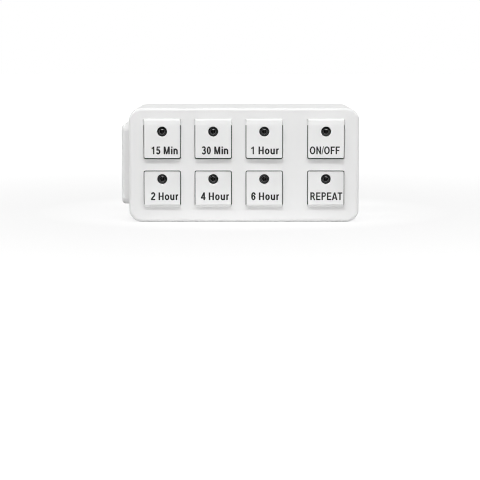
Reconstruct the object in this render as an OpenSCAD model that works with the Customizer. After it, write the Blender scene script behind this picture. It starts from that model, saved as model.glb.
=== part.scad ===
// Plug-in timer switch with eight hinged keys and one grounded side outlet.
// The wall is the plane Y = 0, the keys face -Y, +X is to the right and +Z is up.

/* [Housing] */
// Width of the housing
body_w = 74.5; // [73:0.5:82]
// Height of the housing
body_h = 37; // [36.5:0.5:44]
// Depth from the wall to the front face
body_d = 42; // [41.5:0.5:48]
// Wall thickness
wall = 2; // [1.6:0.1:2.2]
// Radius of the four long corners
corner_r = 4.1; // [3.4:0.1:5.5]
// Rounding of the front edge
edge_r = 1; // [0.6:0.1:1.4]
// Rounding of the rear cover's edge
rear_edge_r = 0.6; // [0.3:0.1:1]
// Thickness of the rear cover
cover_t = 3; // [2.6:0.1:3.6]
// Depth of the lip that the rear cover pushes into the housing
lip_d = 2; // [1.4:0.1:2.4]
// Thickness of that lip
lip_t = 1.2; // [0.9:0.1:1.5]

/* [Keys] */
// Width of a key
key_w = 11.4; // [10.8:0.1:11.8]
// Length of a key from its free edge to its hinge line
key_len = 11; // [10.9:0.1:11.6]
// Height of a key above the front face
key_proud = 1; // [0.7:0.1:1.3]
// Thickness of a key
key_t = 2; // [1.8:0.1:2.3]
// Thickness of the flexing web at the hinge line
web_t = 0.8; // [0.5:0.05:1]
// Length of the flexing web
web_len = 0.6; // [0.4:0.1:1]
// Width of the slot round a key
key_slot = 0.3; // [0.25:0.05:0.45]
// Radius of a key's free corners
key_r = 0.4; // [0.3:0.05:0.6]
// Chamfer round the top of a key
key_chamfer = 0.3; // [0.15:0.05:0.4]
// Distance between the columns of time keys
time_pitch = 16.5; // [15.8:0.1:17]
// Distance from the last column of time keys to the function keys
function_pitch = 19.95; // [19:0.05:20.5]
// Distance between the free edges of the two rows
row_gap = 4.35; // [3.6:0.05:4.5]
// Flat top of the ridge above an upper key
upper_flat = 0.75; // [0.5:0.05:0.9]
// Length of the slope above that ridge
upper_slope = 1; // [0.6:0.05:1.1]
// Flat top of the ridge below a lower key
lower_flat = 0.15; // [0.1:0.05:0.9]
// Length of the slope below that ridge
lower_slope = 0.55; // [0.4:0.05:1.1]
// Diameter of the nub that presses the switch
nub_d = 1.6; // [1.4:0.1:1.8]

/* [Indicators] */
// Diameter of an indicator lamp
led_d = 2.9; // [2.7:0.05:3]
// Clearance between a lamp and the hole in its key
led_clear = 0.15; // [0.12:0.01:0.2]
// Height of a lamp without its legs
led_tall = 5.3; // [5:0.1:5.6]
// Depth of the lamp's tip below the key's face
led_sunk = 0.4; // [0.3:0.05:0.6]
// Length of the lamp's legs above the control board
led_leg = 1; // [0.8:0.1:1.4]
// Distance from the hinge line or free edge to the lamp's centre
led_margin = 2.3; // [2.2:0.05:2.4]

/* [Switches] */
// Width of a tact switch
switch_w = 6; // [5.6:0.1:6.4]
// Height of a tact switch
switch_h = 3.5; // [3.3:0.1:3.6]
// Thickness of a tact switch body
switch_t = 2.5; // [2.3:0.1:2.7]
// Diameter of a plunger
plunger_d = 2; // [1.8:0.1:2.2]
// Height of a plunger above its switch body
plunger_up = 1; // [0.8:0.1:1.1]
// Length of a plunger inside its switch body
plunger_in = 1.2; // [1:0.1:1.3]
// Distance from an upper key's free edge to its switch centre
upper_inset = 2.9; // [2.6:0.1:3.3]
// Gap between a lower key's lamp and its switch
lower_gap = 0.35; // [0.25:0.05:0.5]

/* [Boards] */
// Thickness of both circuit boards
board_t = 1.6; // [1.5:0.1:1.8]
// Gap between a circuit board and what stands beside it
board_gap = 1; // [0.8:0.1:1.2]
// Gap between the rear cover and the power board
power_gap = 4; // [3.6:0.1:4.2]
// Diameter of a connecting wire
wire_d = 1.6; // [1.4:0.1:1.8]

/* [Wall plug] */
// Distance between the blades
blade_pitch = 12.7; // [12.5:0.1:13.2]
// Width of a blade
blade_w = 6.35; // [6.2:0.05:6.6]
// Thickness of a blade
blade_t = 1.5; // [1.4:0.05:1.6]
// Length of a blade beyond the rear cover
blade_len = 17.5; // [16:0.5:18]
// Diameter of the hole in a blade
blade_hole_d = 3.2; // [2.8:0.1:3.6]
// Height of the blades above the centre of the housing
blade_z = 5; // [4.6:0.1:5.4]
// Distance from the blades down to the ground pin
ground_drop = 11.9; // [11.7:0.1:12.1]
// Diameter of the ground pin
ground_d = 4.8; // [4.6:0.05:4.9]
// Length of the ground pin beyond the rear cover
ground_len = 20.5; // [19.5:0.5:21]

/* [Side outlet] */
// Housing left in front of the raised outlet face
boss_front = 4; // [3.2:0.1:6]
// Housing left behind the raised outlet face
boss_rear = 2; // [1.8:0.1:3]
// Height of the raised outlet face
boss_h = 26; // [25:0.5:26.5]
// Height of the outlet face above the side of the housing
boss_up = 2.6; // [2:0.1:3]
// Corner radius of the outlet face
boss_r = 2.4; // [2.4:0.1:5]
// Rounding of the outlet face's edge
boss_edge = 1.2; // [0.8:0.1:1.6]
// Width of the line and neutral slots
outlet_slot = 2; // [1.9:0.1:2.3]
// Height of the line slot
line_slot_h = 7; // [6.8:0.1:7.4]
// Height of the neutral slot
neutral_slot_h = 8.4; // [8.1:0.1:8.6]
// Diameter of the outlet's ground hole
ground_hole_d = 5.4; // [5.2:0.1:5.6]
// Length of the ground hole's sleeve behind the flange
sleeve_len = 4; // [3:0.5:5]
// Thickness of the flange behind the outlet face
flange_t = 1.2; // [1:0.1:1.4]
// Height of that flange
flange_h = 18; // [16:0.5:19]
// Width of the flange's rim in front of and behind the outlet face
flange_rim = 1; // [0.8:0.1:1.2]
// Length of the contact carrier
carrier_len = 17; // [16.5:0.5:17.5]
// Wall of the contact carrier
carrier_wall = 1.1; // [1:0.1:1.3]
// Thickness of the contact strip
strip_t = 0.5; // [0.4:0.05:0.55]
// Height of a live contact
contact_h = 6.4; // [6:0.1:6.8]
// Width of a live contact's pocket
pocket_w = 4.4; // [4.2:0.1:4.6]

/* [Components] */
// Relay width
relay_w = 19; // [18:0.5:19.5]
// Relay height
relay_h = 15; // [14:0.5:15.5]
// Relay depth
relay_t = 15.5; // [14:0.5:17]
// Film capacitor width
film_w = 18; // [16:0.5:19]
// Film capacitor height
film_h = 7.5; // [6:0.5:8]
// Film capacitor depth
film_t = 14; // [12:0.5:16]
// Filter capacitor diameter
can_d = 7.6; // [6.3:0.1:8]
// Filter capacitor length
can_l = 12; // [10:0.5:15]
// Fuse diameter
fuse_d = 5.8; // [5:0.1:6]
// Fuse length
fuse_l = 7; // [6:0.5:8]
// Rectifier width
bridge_w = 6; // [5.5:0.1:6.4]
// Rectifier height
bridge_h = 5.4; // [5:0.1:6]
// Rectifier depth
bridge_t = 2.6; // [2.2:0.1:3]
// Varistor diameter
disc_d = 7; // [6:0.1:7.2]
// Varistor thickness
disc_t = 3.2; // [2.8:0.1:3.6]
// Microcontroller width
chip_w = 9.9; // [9:0.1:11]
// Microcontroller height
chip_h = 3.9; // [3.5:0.1:5]
// Microcontroller depth
chip_t = 1.5; // [1.2:0.1:1.8]
// Spacing of the ribbon's cores
core_pitch = 1; // [0.9:0.05:1.1]
// Gap between neighbouring components
part_gap = 1.2; // [1:0.1:1.3]

/* [Screws] */
// Shank diameter of a case screw
case_screw_d = 2.5; // [2.3:0.1:2.6]
// Head diameter of a case screw
case_head_d = 4.4; // [4.2:0.1:4.6]
// Length of a case screw below its head
case_screw_len = 12; // [10:1:14]
// Shank diameter of a board screw
board_screw_d = 1.8; // [1.6:0.1:1.9]
// Head diameter of a board screw
board_head_d = 3.4; // [3.2:0.1:3.5]
// Length of a board screw below its head
board_screw_len = 4.6; // [4.2:0.1:4.8]

/* [Hidden] */
$fn = 48;
cut = 1; // how far a cutting shape runs past what it cuts
fit = 0.1; // clearance between parts that slip together
slip = 0.05; // clearance round a part that its hole guides
press_gap = 0.08; // free play between a nub and its plunger

// Colours
white = "#f0f0ef";
fibre = "#2f6b3a";
brass = "#c9a24a";
steel = "#b9bcc0";
black = "#1b1b1d";

// Levels: distances forward from the wall, towards the keys
inner_face = body_d - wall;
key_face = body_d + key_proud;
key_back = key_face - key_t;
hinge_level = key_face - web_t;
led_tip = key_face - led_sunk;
led_base = led_tip - led_tall;
board_front = led_base - led_leg;
board_back = board_front - board_t;
switch_top = board_front + switch_t;
nub_tip = switch_top + plunger_up + press_gap;
lip_end = cover_t + lip_d;
power_back = cover_t + power_gap;
power_front = power_back + board_t;

// Inside of the housing
inside_w = body_w - 2 * wall;
inside_h = body_h - 2 * wall;
inner_edge_r = 0.5;

// Keys: name, column from the left, and row, which is 1 for the upper and -1 for the lower
KEYS = [
    ["15_min", 0, 1], ["30_min", 1, 1], ["1_hour", 2, 1], ["on_off", 3, 1],
    ["2_hour", 0, -1], ["4_hour", 1, -1], ["6_hour", 2, -1], ["repeat", 3, -1]
];
first_column = -(2 * time_pitch + function_pitch) / 2;
COLUMNS = [
    first_column,
    first_column + time_pitch,
    first_column + 2 * time_pitch,
    first_column + 2 * time_pitch + function_pitch
];
free_z = row_gap / 2;
hinge_z = free_z + key_len;

// Lamps
led_flange_d = led_d + 0.9;
led_flange_t = 1;
led_leg_d = 0.5;
led_leg_pitch = 2.54;

// Case screws and the corner bosses that take them
case_head_t = 1.5;
case_head_sunk = 0.2;
case_boss_d = case_screw_d + 2.9;
boss_bite = 0.5; // how far a corner boss reaches into the walls
case_x = inside_w / 2 + boss_bite - case_boss_d / 2;
case_z = inside_h / 2 + boss_bite - case_boss_d / 2;
case_boss_top = board_back - 1.2;

// Control board, and the bosses on the front wall that carry it
flange_x = -inside_w / 2 + flange_t;
control_left = flange_x + board_gap;
control_right = inside_w / 2 - board_gap;
board_head_t = 1.3;
control_boss_d = time_pitch - key_w - 2 * key_slot - 0.4;
control_boss_z = 8.5;
CONTROL_SCREWS = [
    for (x = [COLUMNS[0] + COLUMNS[1], COLUMNS[2] + COLUMNS[3]], side = [-1, 1])
        [x / 2, side * control_boss_z]
];

// Side outlet: its middle is a level, its contacts lie in a carrier behind the face
boss_w = body_d - boss_front - cover_t - boss_rear;
outlet_level = cover_t + boss_rear + boss_w / 2;
sleeve_d = ground_hole_d + 1.2;
ground_z = blade_z - ground_drop;
carrier_w = blade_pitch + pocket_w + 2 * carrier_wall;
carrier_h = 2 * (case_z - case_boss_d / 2 - 0.6);
carrier_end = flange_x + carrier_len;
pocket_end = carrier_end - 1.5 * carrier_wall;
pocket_h = contact_h + 0.6;
tail_w = 2.4;
tail_out = 1.5;
tail_end = carrier_end + tail_out;
tail_shift = 1.9; // the live tails stand this far above and below the blade line
wire_bend = 1.3;
wire_x = tail_end + wire_bend;

// Power board, between the wires and the corner bosses
power_left = wire_x - 2.6;
power_right = case_x - case_boss_d / 2 - board_gap;
power_h = inside_h - 2 * board_gap;
post_d = 4.4;
bridge_x = wire_x + part_gap + 0.5 + bridge_w / 2;
bridge_z = blade_z + 5.8;
POWER_SCREWS = [[wire_x - 0.5, bridge_z], [power_right - 1.9, blade_z - part_gap]];
shoulder_w = 9;
shoulder_t = power_gap / 2;
solder_w = 3; // width of a blade's tail through the power board
solder_out = 1;
ground_seat_d = ground_d + 0.4;
ground_tail_d = 1.8;

// A plane across the housing: local X stays X, local Y points up, local Z points forward
module forward(level, x = 0, z = 0) {
    translate([x, -level, z]) rotate([90, 0, 0]) children();
}

// The same plane with local Z pointing back to the wall
module backward(level, x = 0, z = 0) {
    translate([x, -level, z]) rotate([-90, 0, 0]) children();
}

// A plane along the left side: local X points forward, local Y up, local Z to the left
module leftward(x, level = 0, z = 0) {
    translate([x, -level, z]) rotate([90, 0, -90]) children();
}

// A plane along the side: local X points back, local Y up, local Z to the right
module rightward(x, level = 0, z = 0) {
    translate([x, -level, z]) rotate([90, 0, 90]) children();
}

// Half a section of width w and height d whose outer top edge has a rounding e
module edge_section(w, d, e) {
    square([w - e, d]);
    square([w, d - e]);
    translate([w - e, d - e]) circle(e);
}

// Block w by h by d with corners of radius r and a rounding e round its far face
module soft_block(w, h, d, r, e) {
    flat_w = w - 2 * r;
    flat_h = h - 2 * r;
    translate([-flat_w / 2, 0, 0]) rotate([90, 0, 90]) linear_extrude(flat_w)
        for (side = [0, 1]) mirror([side, 0]) edge_section(h / 2, d, e);
    for (side = [0, 1]) mirror([side, 0, 0]) {
        translate([flat_w / 2, flat_h / 2, 0]) rotate([90, 0, 0])
            linear_extrude(flat_h) edge_section(r, d, e);
        for (end = [0, 1]) mirror([0, end, 0])
            translate([flat_w / 2, flat_h / 2, 0])
                rotate_extrude(angle = 90) edge_section(r, d, e);
    }
}

// Rectangle w by h with corners of radius r
module rounded(w, h, r) {
    square([w - 2 * r, h], center = true);
    square([w, h - 2 * r], center = true);
    for (x = [-1, 1], y = [-1, 1])
        translate([x * (w / 2 - r), y * (h / 2 - r)]) circle(r);
}

// Outline of a key: square at the hinge line, rounded at the free end below it
module tongue(w, l, r) {
    translate([-w / 2, r - l]) square([w, l - r]);
    translate([r - w / 2, -l]) square([w - 2 * r, l]);
    for (side = [-1, 1]) translate([side * (w / 2 - r), r - l]) circle(r);
}

// Puts what is drawn for the upper row at one key's column and row
module at_key(k) {
    translate([COLUMNS[k[1]], 0, 0]) mirror([0, 0, k[2] > 0 ? 0 : 1]) children();
}

// Heights of the lamp and of the switch, measured in the upper row's direction
function led_z(k) = k[2] > 0 ? hinge_z - led_margin : free_z + led_margin;
function switch_z(k) = k[2] > 0
    ? free_z + upper_inset
    : led_z(k) + led_flange_d / 2 + lower_gap + switch_h / 2;

// Screw with a domed, cross-recessed head below the plane and its shank above
module screw(shank_d, len, head_d, head_t) {
    recess_w = head_d / 6;
    recess_l = head_d * 0.56;
    cylinder(d = shank_d, h = len);
    difference() {
        rotate_extrude() polygon([
            [0, 0], [head_d / 2, 0], [head_d / 2, -head_t * 0.55],
            [head_d * 0.36, -head_t], [0, -head_t]
        ]);
        for (a = [0, 90]) rotate(a)
            translate([-recess_l / 2, -recess_w / 2, -head_t - cut])
                cube([recess_l, recess_w, head_t * 0.5 + cut]);
    }
}

// ---- Housing ----

module front_housing() {
    color(white) difference() {
        union() {
            difference() {
                forward(cover_t) soft_block(body_w, body_h, body_d - cover_t, corner_r, edge_r);
                forward(cover_t - cut)
                    soft_block(inside_w, inside_h, inner_face - cover_t + cut,
                        corner_r - wall, inner_edge_r);
            }
            for (k = KEYS) at_key(k) hinge_ridge(k);
            for (p = CONTROL_SCREWS) forward(board_front, p[0], p[1])
                cylinder(d = control_boss_d, h = inner_face - board_front + wall / 2);
            for (x = [-case_x, case_x], z = [-case_z, case_z]) forward(lip_end, x, z)
                cylinder(d = case_boss_d, h = case_boss_top - lip_end);
            for (side = [0, 1], level = [-1, 1]) mirror([0, 0, side])
                carrier_rail(outlet_level + level * carrier_w / 3);
        }
        for (k = KEYS) at_key(k) key_window();
        leftward(-inside_w / 2 + fit, outlet_level) linear_extrude(wall + fit + cut)
            rounded(boss_w + 2 * fit, boss_h + 2 * fit, boss_r + fit);
        for (p = CONTROL_SCREWS) forward(board_front - cut, p[0], p[1])
            cylinder(d = board_screw_d + fit, h = cut + board_screw_len - board_t + 0.3);
        for (x = [-case_x, case_x], z = [-case_z, case_z]) forward(lip_end - cut, x, z)
            cylinder(d = case_screw_d + fit, h = cut + case_screw_len - lip_d);
    }
}

// Raised strip behind a key's hinge line, sloping down to the front face
module hinge_ridge(k) {
    root = body_d - wall / 2;
    flat_z = hinge_z + (k[2] > 0 ? upper_flat : lower_flat);
    foot_z = flat_z + (k[2] > 0 ? upper_slope : lower_slope);
    intersection() {
        rightward(-key_w / 2) linear_extrude(key_w) polygon([
            [-root, hinge_z], [-key_face, hinge_z], [-key_face, flat_z],
            [-body_d, foot_z], [-root, foot_z]
        ]);
        translate([0, 0, hinge_z - cut]) linear_extrude(foot_z - hinge_z + 2 * cut)
            key_top(root - cut);
    }
}

// Section across a key seen from above, from a level behind it to its chamfered face
module key_top(back) {
    half = key_w / 2;
    polygon([
        [-half, -back], [-half, key_chamfer - key_face], [key_chamfer - half, -key_face],
        [half - key_chamfer, -key_face], [half, key_chamfer - key_face], [half, -back]
    ]);
}

// Opening for a key: the key with its slot on three sides
module key_window() {
    forward(inner_face - cut, 0, hinge_z) linear_extrude(wall + key_proud + 2 * cut)
        tongue(key_w + 2 * key_slot, key_len + key_slot, key_r + key_slot);
}

// Rib from the wall to the contact carrier, with a stop behind the carrier's end
module carrier_rail(level) {
    rail_t = 1.2;
    seat = carrier_h / 2 + fit;
    stop_t = 1.1;
    start = -case_x + case_boss_d / 2 + 0.5;
    forward(level - rail_t / 2) linear_extrude(rail_t) polygon([
        [start, inside_h / 2 + wall / 2], [start, seat], [carrier_end + fit, seat],
        [carrier_end + fit, seat - 1.2], [carrier_end + fit + stop_t, seat - 1.2],
        [carrier_end + fit + stop_t, inside_h / 2 + wall / 2]
    ]);
}

module rear_cover() {
    blade_slot_w = blade_t + 2 * slip;
    blade_slot_h = blade_w + 2 * slip;
    color(white) difference() {
        union() {
            backward(cover_t) soft_block(body_w, body_h, cover_t, corner_r, rear_edge_r);
            difference() {
                lip_plug(0);
                forward(cover_t) linear_extrude(lip_d + cut)
                    rounded(inside_w - 2 * (fit + lip_t), inside_h - 2 * (fit + lip_t), lip_t);
                translate([-body_w / 2, -lip_end - cut, -flange_h / 2 - fit])
                    cube([wall + fit + lip_t + cut, lip_d + cut, flange_h + 2 * fit]);
            }
            intersection() {
                lip_plug(cut / 2);
                for (x = [-case_x, case_x], z = [-case_z, case_z]) forward(cover_t - cut, x, z)
                    cylinder(d = case_boss_d, h = lip_d + cut);
            }
            for (p = POWER_SCREWS) forward(cover_t - cut, p[0], p[1])
                cylinder(d = post_d, h = power_gap + cut);
        }
        for (side = [-1, 1]) forward(-cut, side * blade_pitch / 2, blade_z)
            translate([-blade_slot_w / 2, -blade_slot_h / 2, 0])
                cube([blade_slot_w, blade_slot_h, cover_t + 2 * cut]);
        forward(-cut, 0, ground_z) cylinder(d = ground_seat_d + 2 * slip, h = cover_t + 2 * cut);
        for (x = [-case_x, case_x], z = [-case_z, case_z]) {
            forward(-cut, x, z) cylinder(d = case_screw_d + 2 * fit, h = lip_end + 2 * cut);
            forward(-cut, x, z)
                cylinder(d = case_head_d + 4 * fit, h = cut + case_head_sunk + case_head_t);
        }
        for (p = POWER_SCREWS) forward(power_front - board_screw_len - 0.3, p[0], p[1])
            cylinder(d = board_screw_d + fit, h = board_screw_len + cut);
    }
}

// Solid that fills the mouth of the housing as deep as the lip, sunk into the cover
module lip_plug(sink) {
    forward(cover_t - sink) linear_extrude(lip_d + sink)
        rounded(inside_w - 2 * fit, inside_h - 2 * fit, corner_r - wall - fit);
}

// ---- Keys ----

// A key of the upper row, with the hole for its lamp and the nub for its switch
module key(k) {
    side = [
        [-key_face, hinge_z],
        [-key_face, free_z + key_chamfer],
        [key_chamfer - key_face, free_z],
        [-key_back, free_z],
        [-key_back, hinge_z - web_len - key_t + web_t],
        [-hinge_level, hinge_z - web_len],
        [-hinge_level, hinge_z]
    ];
    color(white) at_key(k) difference() {
        union() {
            intersection() {
                rightward(-key_w / 2) linear_extrude(key_w) polygon(side);
                linear_extrude(hinge_z + cut) key_top(key_back - cut);
                forward(key_back - cut, 0, hinge_z) linear_extrude(key_t + 2 * cut)
                    tongue(key_w, key_len, key_r);
            }
            forward(nub_tip, 0, switch_z(k)) cylinder(d = nub_d, h = key_back - nub_tip + key_t / 2);
        }
        forward(key_back - cut, 0, led_z(k))
            cylinder(d = led_d + 2 * led_clear, h = key_t + 2 * cut);
    }
}

module led(k) {
    r = led_d / 2;
    color(black) at_key(k) forward(led_base, 0, led_z(k)) {
        rotate_extrude() {
            square([r, led_tall - r]);
            square([led_flange_d / 2, led_flange_t]);
            translate([0, led_tall - r]) intersection() {
                circle(r);
                square(r);
            }
        }
        for (side = [-1, 1]) translate([side * led_leg_pitch / 2, 0, -led_leg])
            cylinder(d = led_leg_d, h = led_leg);
    }
}

module switch_body(k) {
    lead_w = 0.9;
    lead_l = 1;
    color(black) at_key(k) forward(board_front, 0, switch_z(k)) {
        difference() {
            translate([-switch_w / 2, -switch_h / 2, 0]) cube([switch_w, switch_h, switch_t]);
            translate([0, 0, switch_t - plunger_in - 0.5])
                cylinder(d = plunger_d + 2 * slip, h = plunger_in + 0.5 + cut);
        }
        for (side = [-1, 1]) translate([side * switch_w / 2 - lead_l, -lead_w / 2, 0])
            cube([2 * lead_l, lead_w, 0.3]);
    }
}

module plunger(k) {
    r = plunger_d / 2;
    top = plunger_in + plunger_up;
    color(white) at_key(k) forward(switch_top - plunger_in, 0, switch_z(k)) rotate_extrude()
        polygon([[0, 0], [r, 0], [r, top - 0.2], [r - 0.2, top], [0, top]]);
}

// ---- Control board ----

module control_board() {
    h = inside_h - 2 * board_gap;
    color(fibre) difference() {
        translate([control_left, -board_front, -h / 2])
            cube([control_right - control_left, board_t, h]);
        for (p = CONTROL_SCREWS) forward(board_back - cut, p[0], p[1])
            cylinder(d = board_screw_d + 2 * fit, h = board_t + 2 * cut);
    }
}

module control_board_screws() {
    color(steel) for (p = CONTROL_SCREWS) forward(board_back, p[0], p[1])
        screw(board_screw_d, board_screw_len, board_head_d, board_head_t);
}

// Chip with eight legs on each long side, on the back of the control board
module microcontroller() {
    leg_pitch = 1.27;
    leg_l = 1.05;
    legs = 8;
    color(black) backward(board_back) {
        translate([-chip_w / 2, -chip_h / 2, 0]) cube([chip_w, chip_h, chip_t]);
        for (i = [0:legs - 1])
            translate([(i - (legs - 1) / 2) * leg_pitch - 0.2, -chip_h / 2 - leg_l, 0])
                cube([0.4, chip_h + 2 * leg_l, 0.25]);
    }
}

// Five bonded wires from the power board to the control board, between the outlet's wires
module ribbon_cable() {
    cores = 5;
    color(steel) forward(power_front, wire_x, (tail_z(-1) + ground_z) / 2)
        linear_extrude(board_back - power_front)
            for (i = [0:cores - 1]) translate([0, (i - (cores - 1) / 2) * core_pitch])
                circle(d = core_pitch * 1.15);
}

// ---- Power board ----

module power_board() {
    slot_w = blade_t + 2 * fit;
    slot_h = solder_w + 2 * fit;
    color(fibre) difference() {
        translate([power_left, -power_front, -power_h / 2])
            cube([power_right - power_left, board_t, power_h]);
        for (side = [-1, 1]) forward(power_back - cut, side * blade_pitch / 2, blade_z)
            translate([-slot_w / 2, -slot_h / 2, 0]) cube([slot_w, slot_h, board_t + 2 * cut]);
        forward(power_back - cut, 0, ground_z)
            cylinder(d = ground_tail_d + 2 * fit, h = board_t + 2 * cut);
        for (p = POWER_SCREWS) forward(power_back - cut, p[0], p[1])
            cylinder(d = board_screw_d + 2 * fit, h = board_t + 2 * cut);
    }
}

module power_board_screws() {
    color(steel) for (p = POWER_SCREWS) backward(power_front, p[0], p[1])
        screw(board_screw_d, board_screw_len, board_head_d, board_head_t);
}

// Box that stands on the power board, with its middle at x and z
module on_power_board(x, z, w, h, t) {
    forward(power_front, x, z) translate([-w / 2, -h / 2, 0]) cube([w, h, t]);
}

module relay() {
    color("#2a5fa8") on_power_board((blade_pitch + blade_t + relay_w) / 2 + part_gap,
        blade_z - part_gap - (board_head_d + part_gap + relay_h) / 2, relay_w, relay_h, relay_t);
}

module film_capacitor() {
    color("#d8c14a") on_power_board((blade_pitch + blade_t + film_w) / 2 + part_gap,
        (power_h - part_gap - film_h) / 2, film_w, film_h, film_t);
}

// Can with a crimped groove near its base, beside the ground pin's tail
module filter_capacitor() {
    r = can_d / 2;
    groove = 0.35;
    color("#26262c")
        forward(power_front, -(ground_tail_d + part_gap) / 2 - r, ground_z - 2 * part_gap)
            rotate_extrude() polygon([
                [0, 0], [r, 0], [r, 3 * groove], [r - groove, 4 * groove], [r, 5 * groove],
                [r, can_l - groove], [r - groove, can_l], [0, can_l]
            ]);
}

module fuse() {
    color("#3b3b40")
        forward(power_front, wire_x + part_gap + fuse_d / 2, blade_z - (solder_w + part_gap + fuse_d) / 2)
            cylinder(d = fuse_d, h = fuse_l);
}

module rectifier() {
    color(black) on_power_board(bridge_x, bridge_z, bridge_w, bridge_h, bridge_t);
}

// Disc on two legs, standing edge on above the line blade
module varistor() {
    leg_d = 0.7;
    lift = 1.2;
    x = (blade_pitch + blade_t - disc_d) / 2;
    z = power_h / 2 - part_gap - disc_t;
    color("#c8672a") {
        translate([x, -power_front - lift - disc_d / 2, z]) cylinder(d = disc_d, h = disc_t);
        for (side = [-1, 1])
            forward(power_front, x + side * disc_d / 3, z + disc_t / 2)
                cylinder(d = leg_d, h = lift + disc_d / 2);
    }
}

// ---- Wall plug ----

// Flat blade with a drilled, chamfered end, a shoulder behind the cover and a soldered tail
module blade(x) {
    tip_l = 1.6;
    tip_in = 1.1;
    hole_at = 11.8;
    profile = [
        [-power_front - solder_out, solder_w / 2],
        [-cover_t - shoulder_t, solder_w / 2],
        [-cover_t - shoulder_t, shoulder_w / 2],
        [-cover_t, shoulder_w / 2],
        [-cover_t, blade_w / 2],
        [blade_len - tip_l, blade_w / 2],
        [blade_len, blade_w / 2 - tip_in]
    ];
    lower = [for (i = [len(profile) - 1:-1:0]) [profile[i][0], -profile[i][1]]];
    color(brass) difference() {
        rightward(x - blade_t / 2, 0, blade_z) linear_extrude(blade_t)
            polygon(concat(profile, lower));
        rightward(x - blade_t, -hole_at, blade_z) cylinder(d = blade_hole_d, h = 2 * blade_t);
        for (side = [-1, 1])
            translate([x + side * blade_t / 2, blade_len, blade_z - blade_w])
                rotate(45) translate([-0.3, -0.3, 0]) cube([0.6, 0.6, 2 * blade_w]);
    }
}

// Round pin with a domed end, a flange behind the cover and a soldered tail
module ground_pin() {
    r = ground_d / 2;
    color(brass) backward(power_front + solder_out, 0, ground_z) rotate_extrude() {
        base = power_front + solder_out;
        square([ground_tail_d / 2, base]);
        translate([0, base - cover_t - shoulder_t]) square([ground_seat_d / 2 + 1, shoulder_t]);
        translate([0, base - cover_t - shoulder_t]) square([ground_seat_d / 2, cover_t + shoulder_t]);
        translate([0, base - cut]) square([r, ground_len - r + cut]);
        translate([0, base + ground_len - r]) intersection() {
            circle(r);
            square(r);
        }
    }
}

// ---- Side outlet ----

module outlet_face() {
    outer = wall + boss_up;
    recess = 0.8;
    through = flange_t + outer + sleeve_len + 2 * cut;
    u_half = ground_hole_d / 2 + 0.1;
    color(white) difference() {
        union() {
            leftward(-inside_w / 2, outlet_level)
                soft_block(boss_w, boss_h, outer, boss_r, boss_edge);
            leftward(flange_x, outlet_level)
                translate([-boss_w / 2 - flange_rim, -flange_h / 2, 0])
                    cube([boss_w + 2 * flange_rim, flange_h, flange_t]);
            leftward(flange_x + sleeve_len, outlet_level, ground_z)
                cylinder(d = sleeve_d, h = sleeve_len + flange_t);
        }
        leftward(flange_x + cut, outlet_level, blade_z) {
            translate([(blade_pitch - outlet_slot) / 2, -line_slot_h / 2, 0])
                cube([outlet_slot, line_slot_h, through]);
            translate([(-blade_pitch - outlet_slot) / 2, -neutral_slot_h / 2, 0])
                cube([outlet_slot, neutral_slot_h, through]);
        }
        leftward(flange_x + sleeve_len + cut, outlet_level, ground_z)
            cylinder(d = ground_hole_d, h = through);
        leftward(-inside_w / 2 - outer + recess, outlet_level, ground_z)
            linear_extrude(recess + cut) {
                circle(u_half);
                translate([-u_half, 0]) square([2 * u_half, u_half]);
            }
    }
}

module outlet_body() {
    depth = pocket_end - flange_x;
    slot_t = strip_t + 2 * fit;
    color("#33343a") difference() {
        rightward(flange_x, outlet_level)
            translate([-carrier_w / 2, -carrier_h / 2, 0]) cube([carrier_w, carrier_h, carrier_len]);
        for (side = [-1, 1]) {
            rightward(flange_x - cut, outlet_level + side * blade_pitch / 2, blade_z)
                translate([-pocket_w / 2, -pocket_h / 2, 0]) cube([pocket_w, pocket_h, depth + cut]);
            rightward(pocket_end - cut, outlet_level + side * blade_pitch / 2, tail_z(side))
                translate([-slot_t / 2, -tail_w / 2 - fit, 0])
                    cube([slot_t, tail_w + 2 * fit, carrier_end - pocket_end + 2 * cut]);
        }
        rightward(flange_x - cut, outlet_level, ground_z)
            cylinder(d = sleeve_d + 2 * fit, h = depth + cut);
        rightward(pocket_end - cut, outlet_level, ground_z)
            translate([-slot_t / 2, -tail_w / 2 - fit, 0])
                cube([slot_t, tail_w + 2 * fit, carrier_end - pocket_end + 2 * cut]);
    }
}

// Height of a live contact's tail: the line contact is in front (1) and the neutral behind (-1)
function tail_z(side) = blade_z + side * tail_shift;

// Tail of a contact, from its base through the carrier's end
module contact_tail(level, z) {
    rightward(pocket_end - strip_t, level, z)
        translate([-strip_t / 2, -tail_w / 2, 0])
            cube([strip_t, tail_w, tail_end - pocket_end + strip_t]);
}

// Two sprung leaves that flare at the mouth and pinch a blade behind it
module blade_contact(side) {
    level = outlet_level + side * blade_pitch / 2;
    start = flange_x + 0.5;
    leaf = [
        [start, 1.3], [start + 2.6, blade_t / 2 - 0.1], [start + 6, 1.1], [pocket_end, 1.1]
    ];
    back = [for (i = [len(leaf) - 1:-1:0]) [leaf[i][0], leaf[i][1] + strip_t]];
    color(brass) {
        translate([0, -level, blade_z - contact_h / 2]) linear_extrude(contact_h)
            for (flip = [0, 1]) mirror([0, flip]) {
                polygon(concat(leaf, back));
                translate([pocket_end - strip_t, -0.1]) square([strip_t, 1.2 + strip_t]);
            }
        contact_tail(level, tail_z(side));
    }
}

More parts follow.
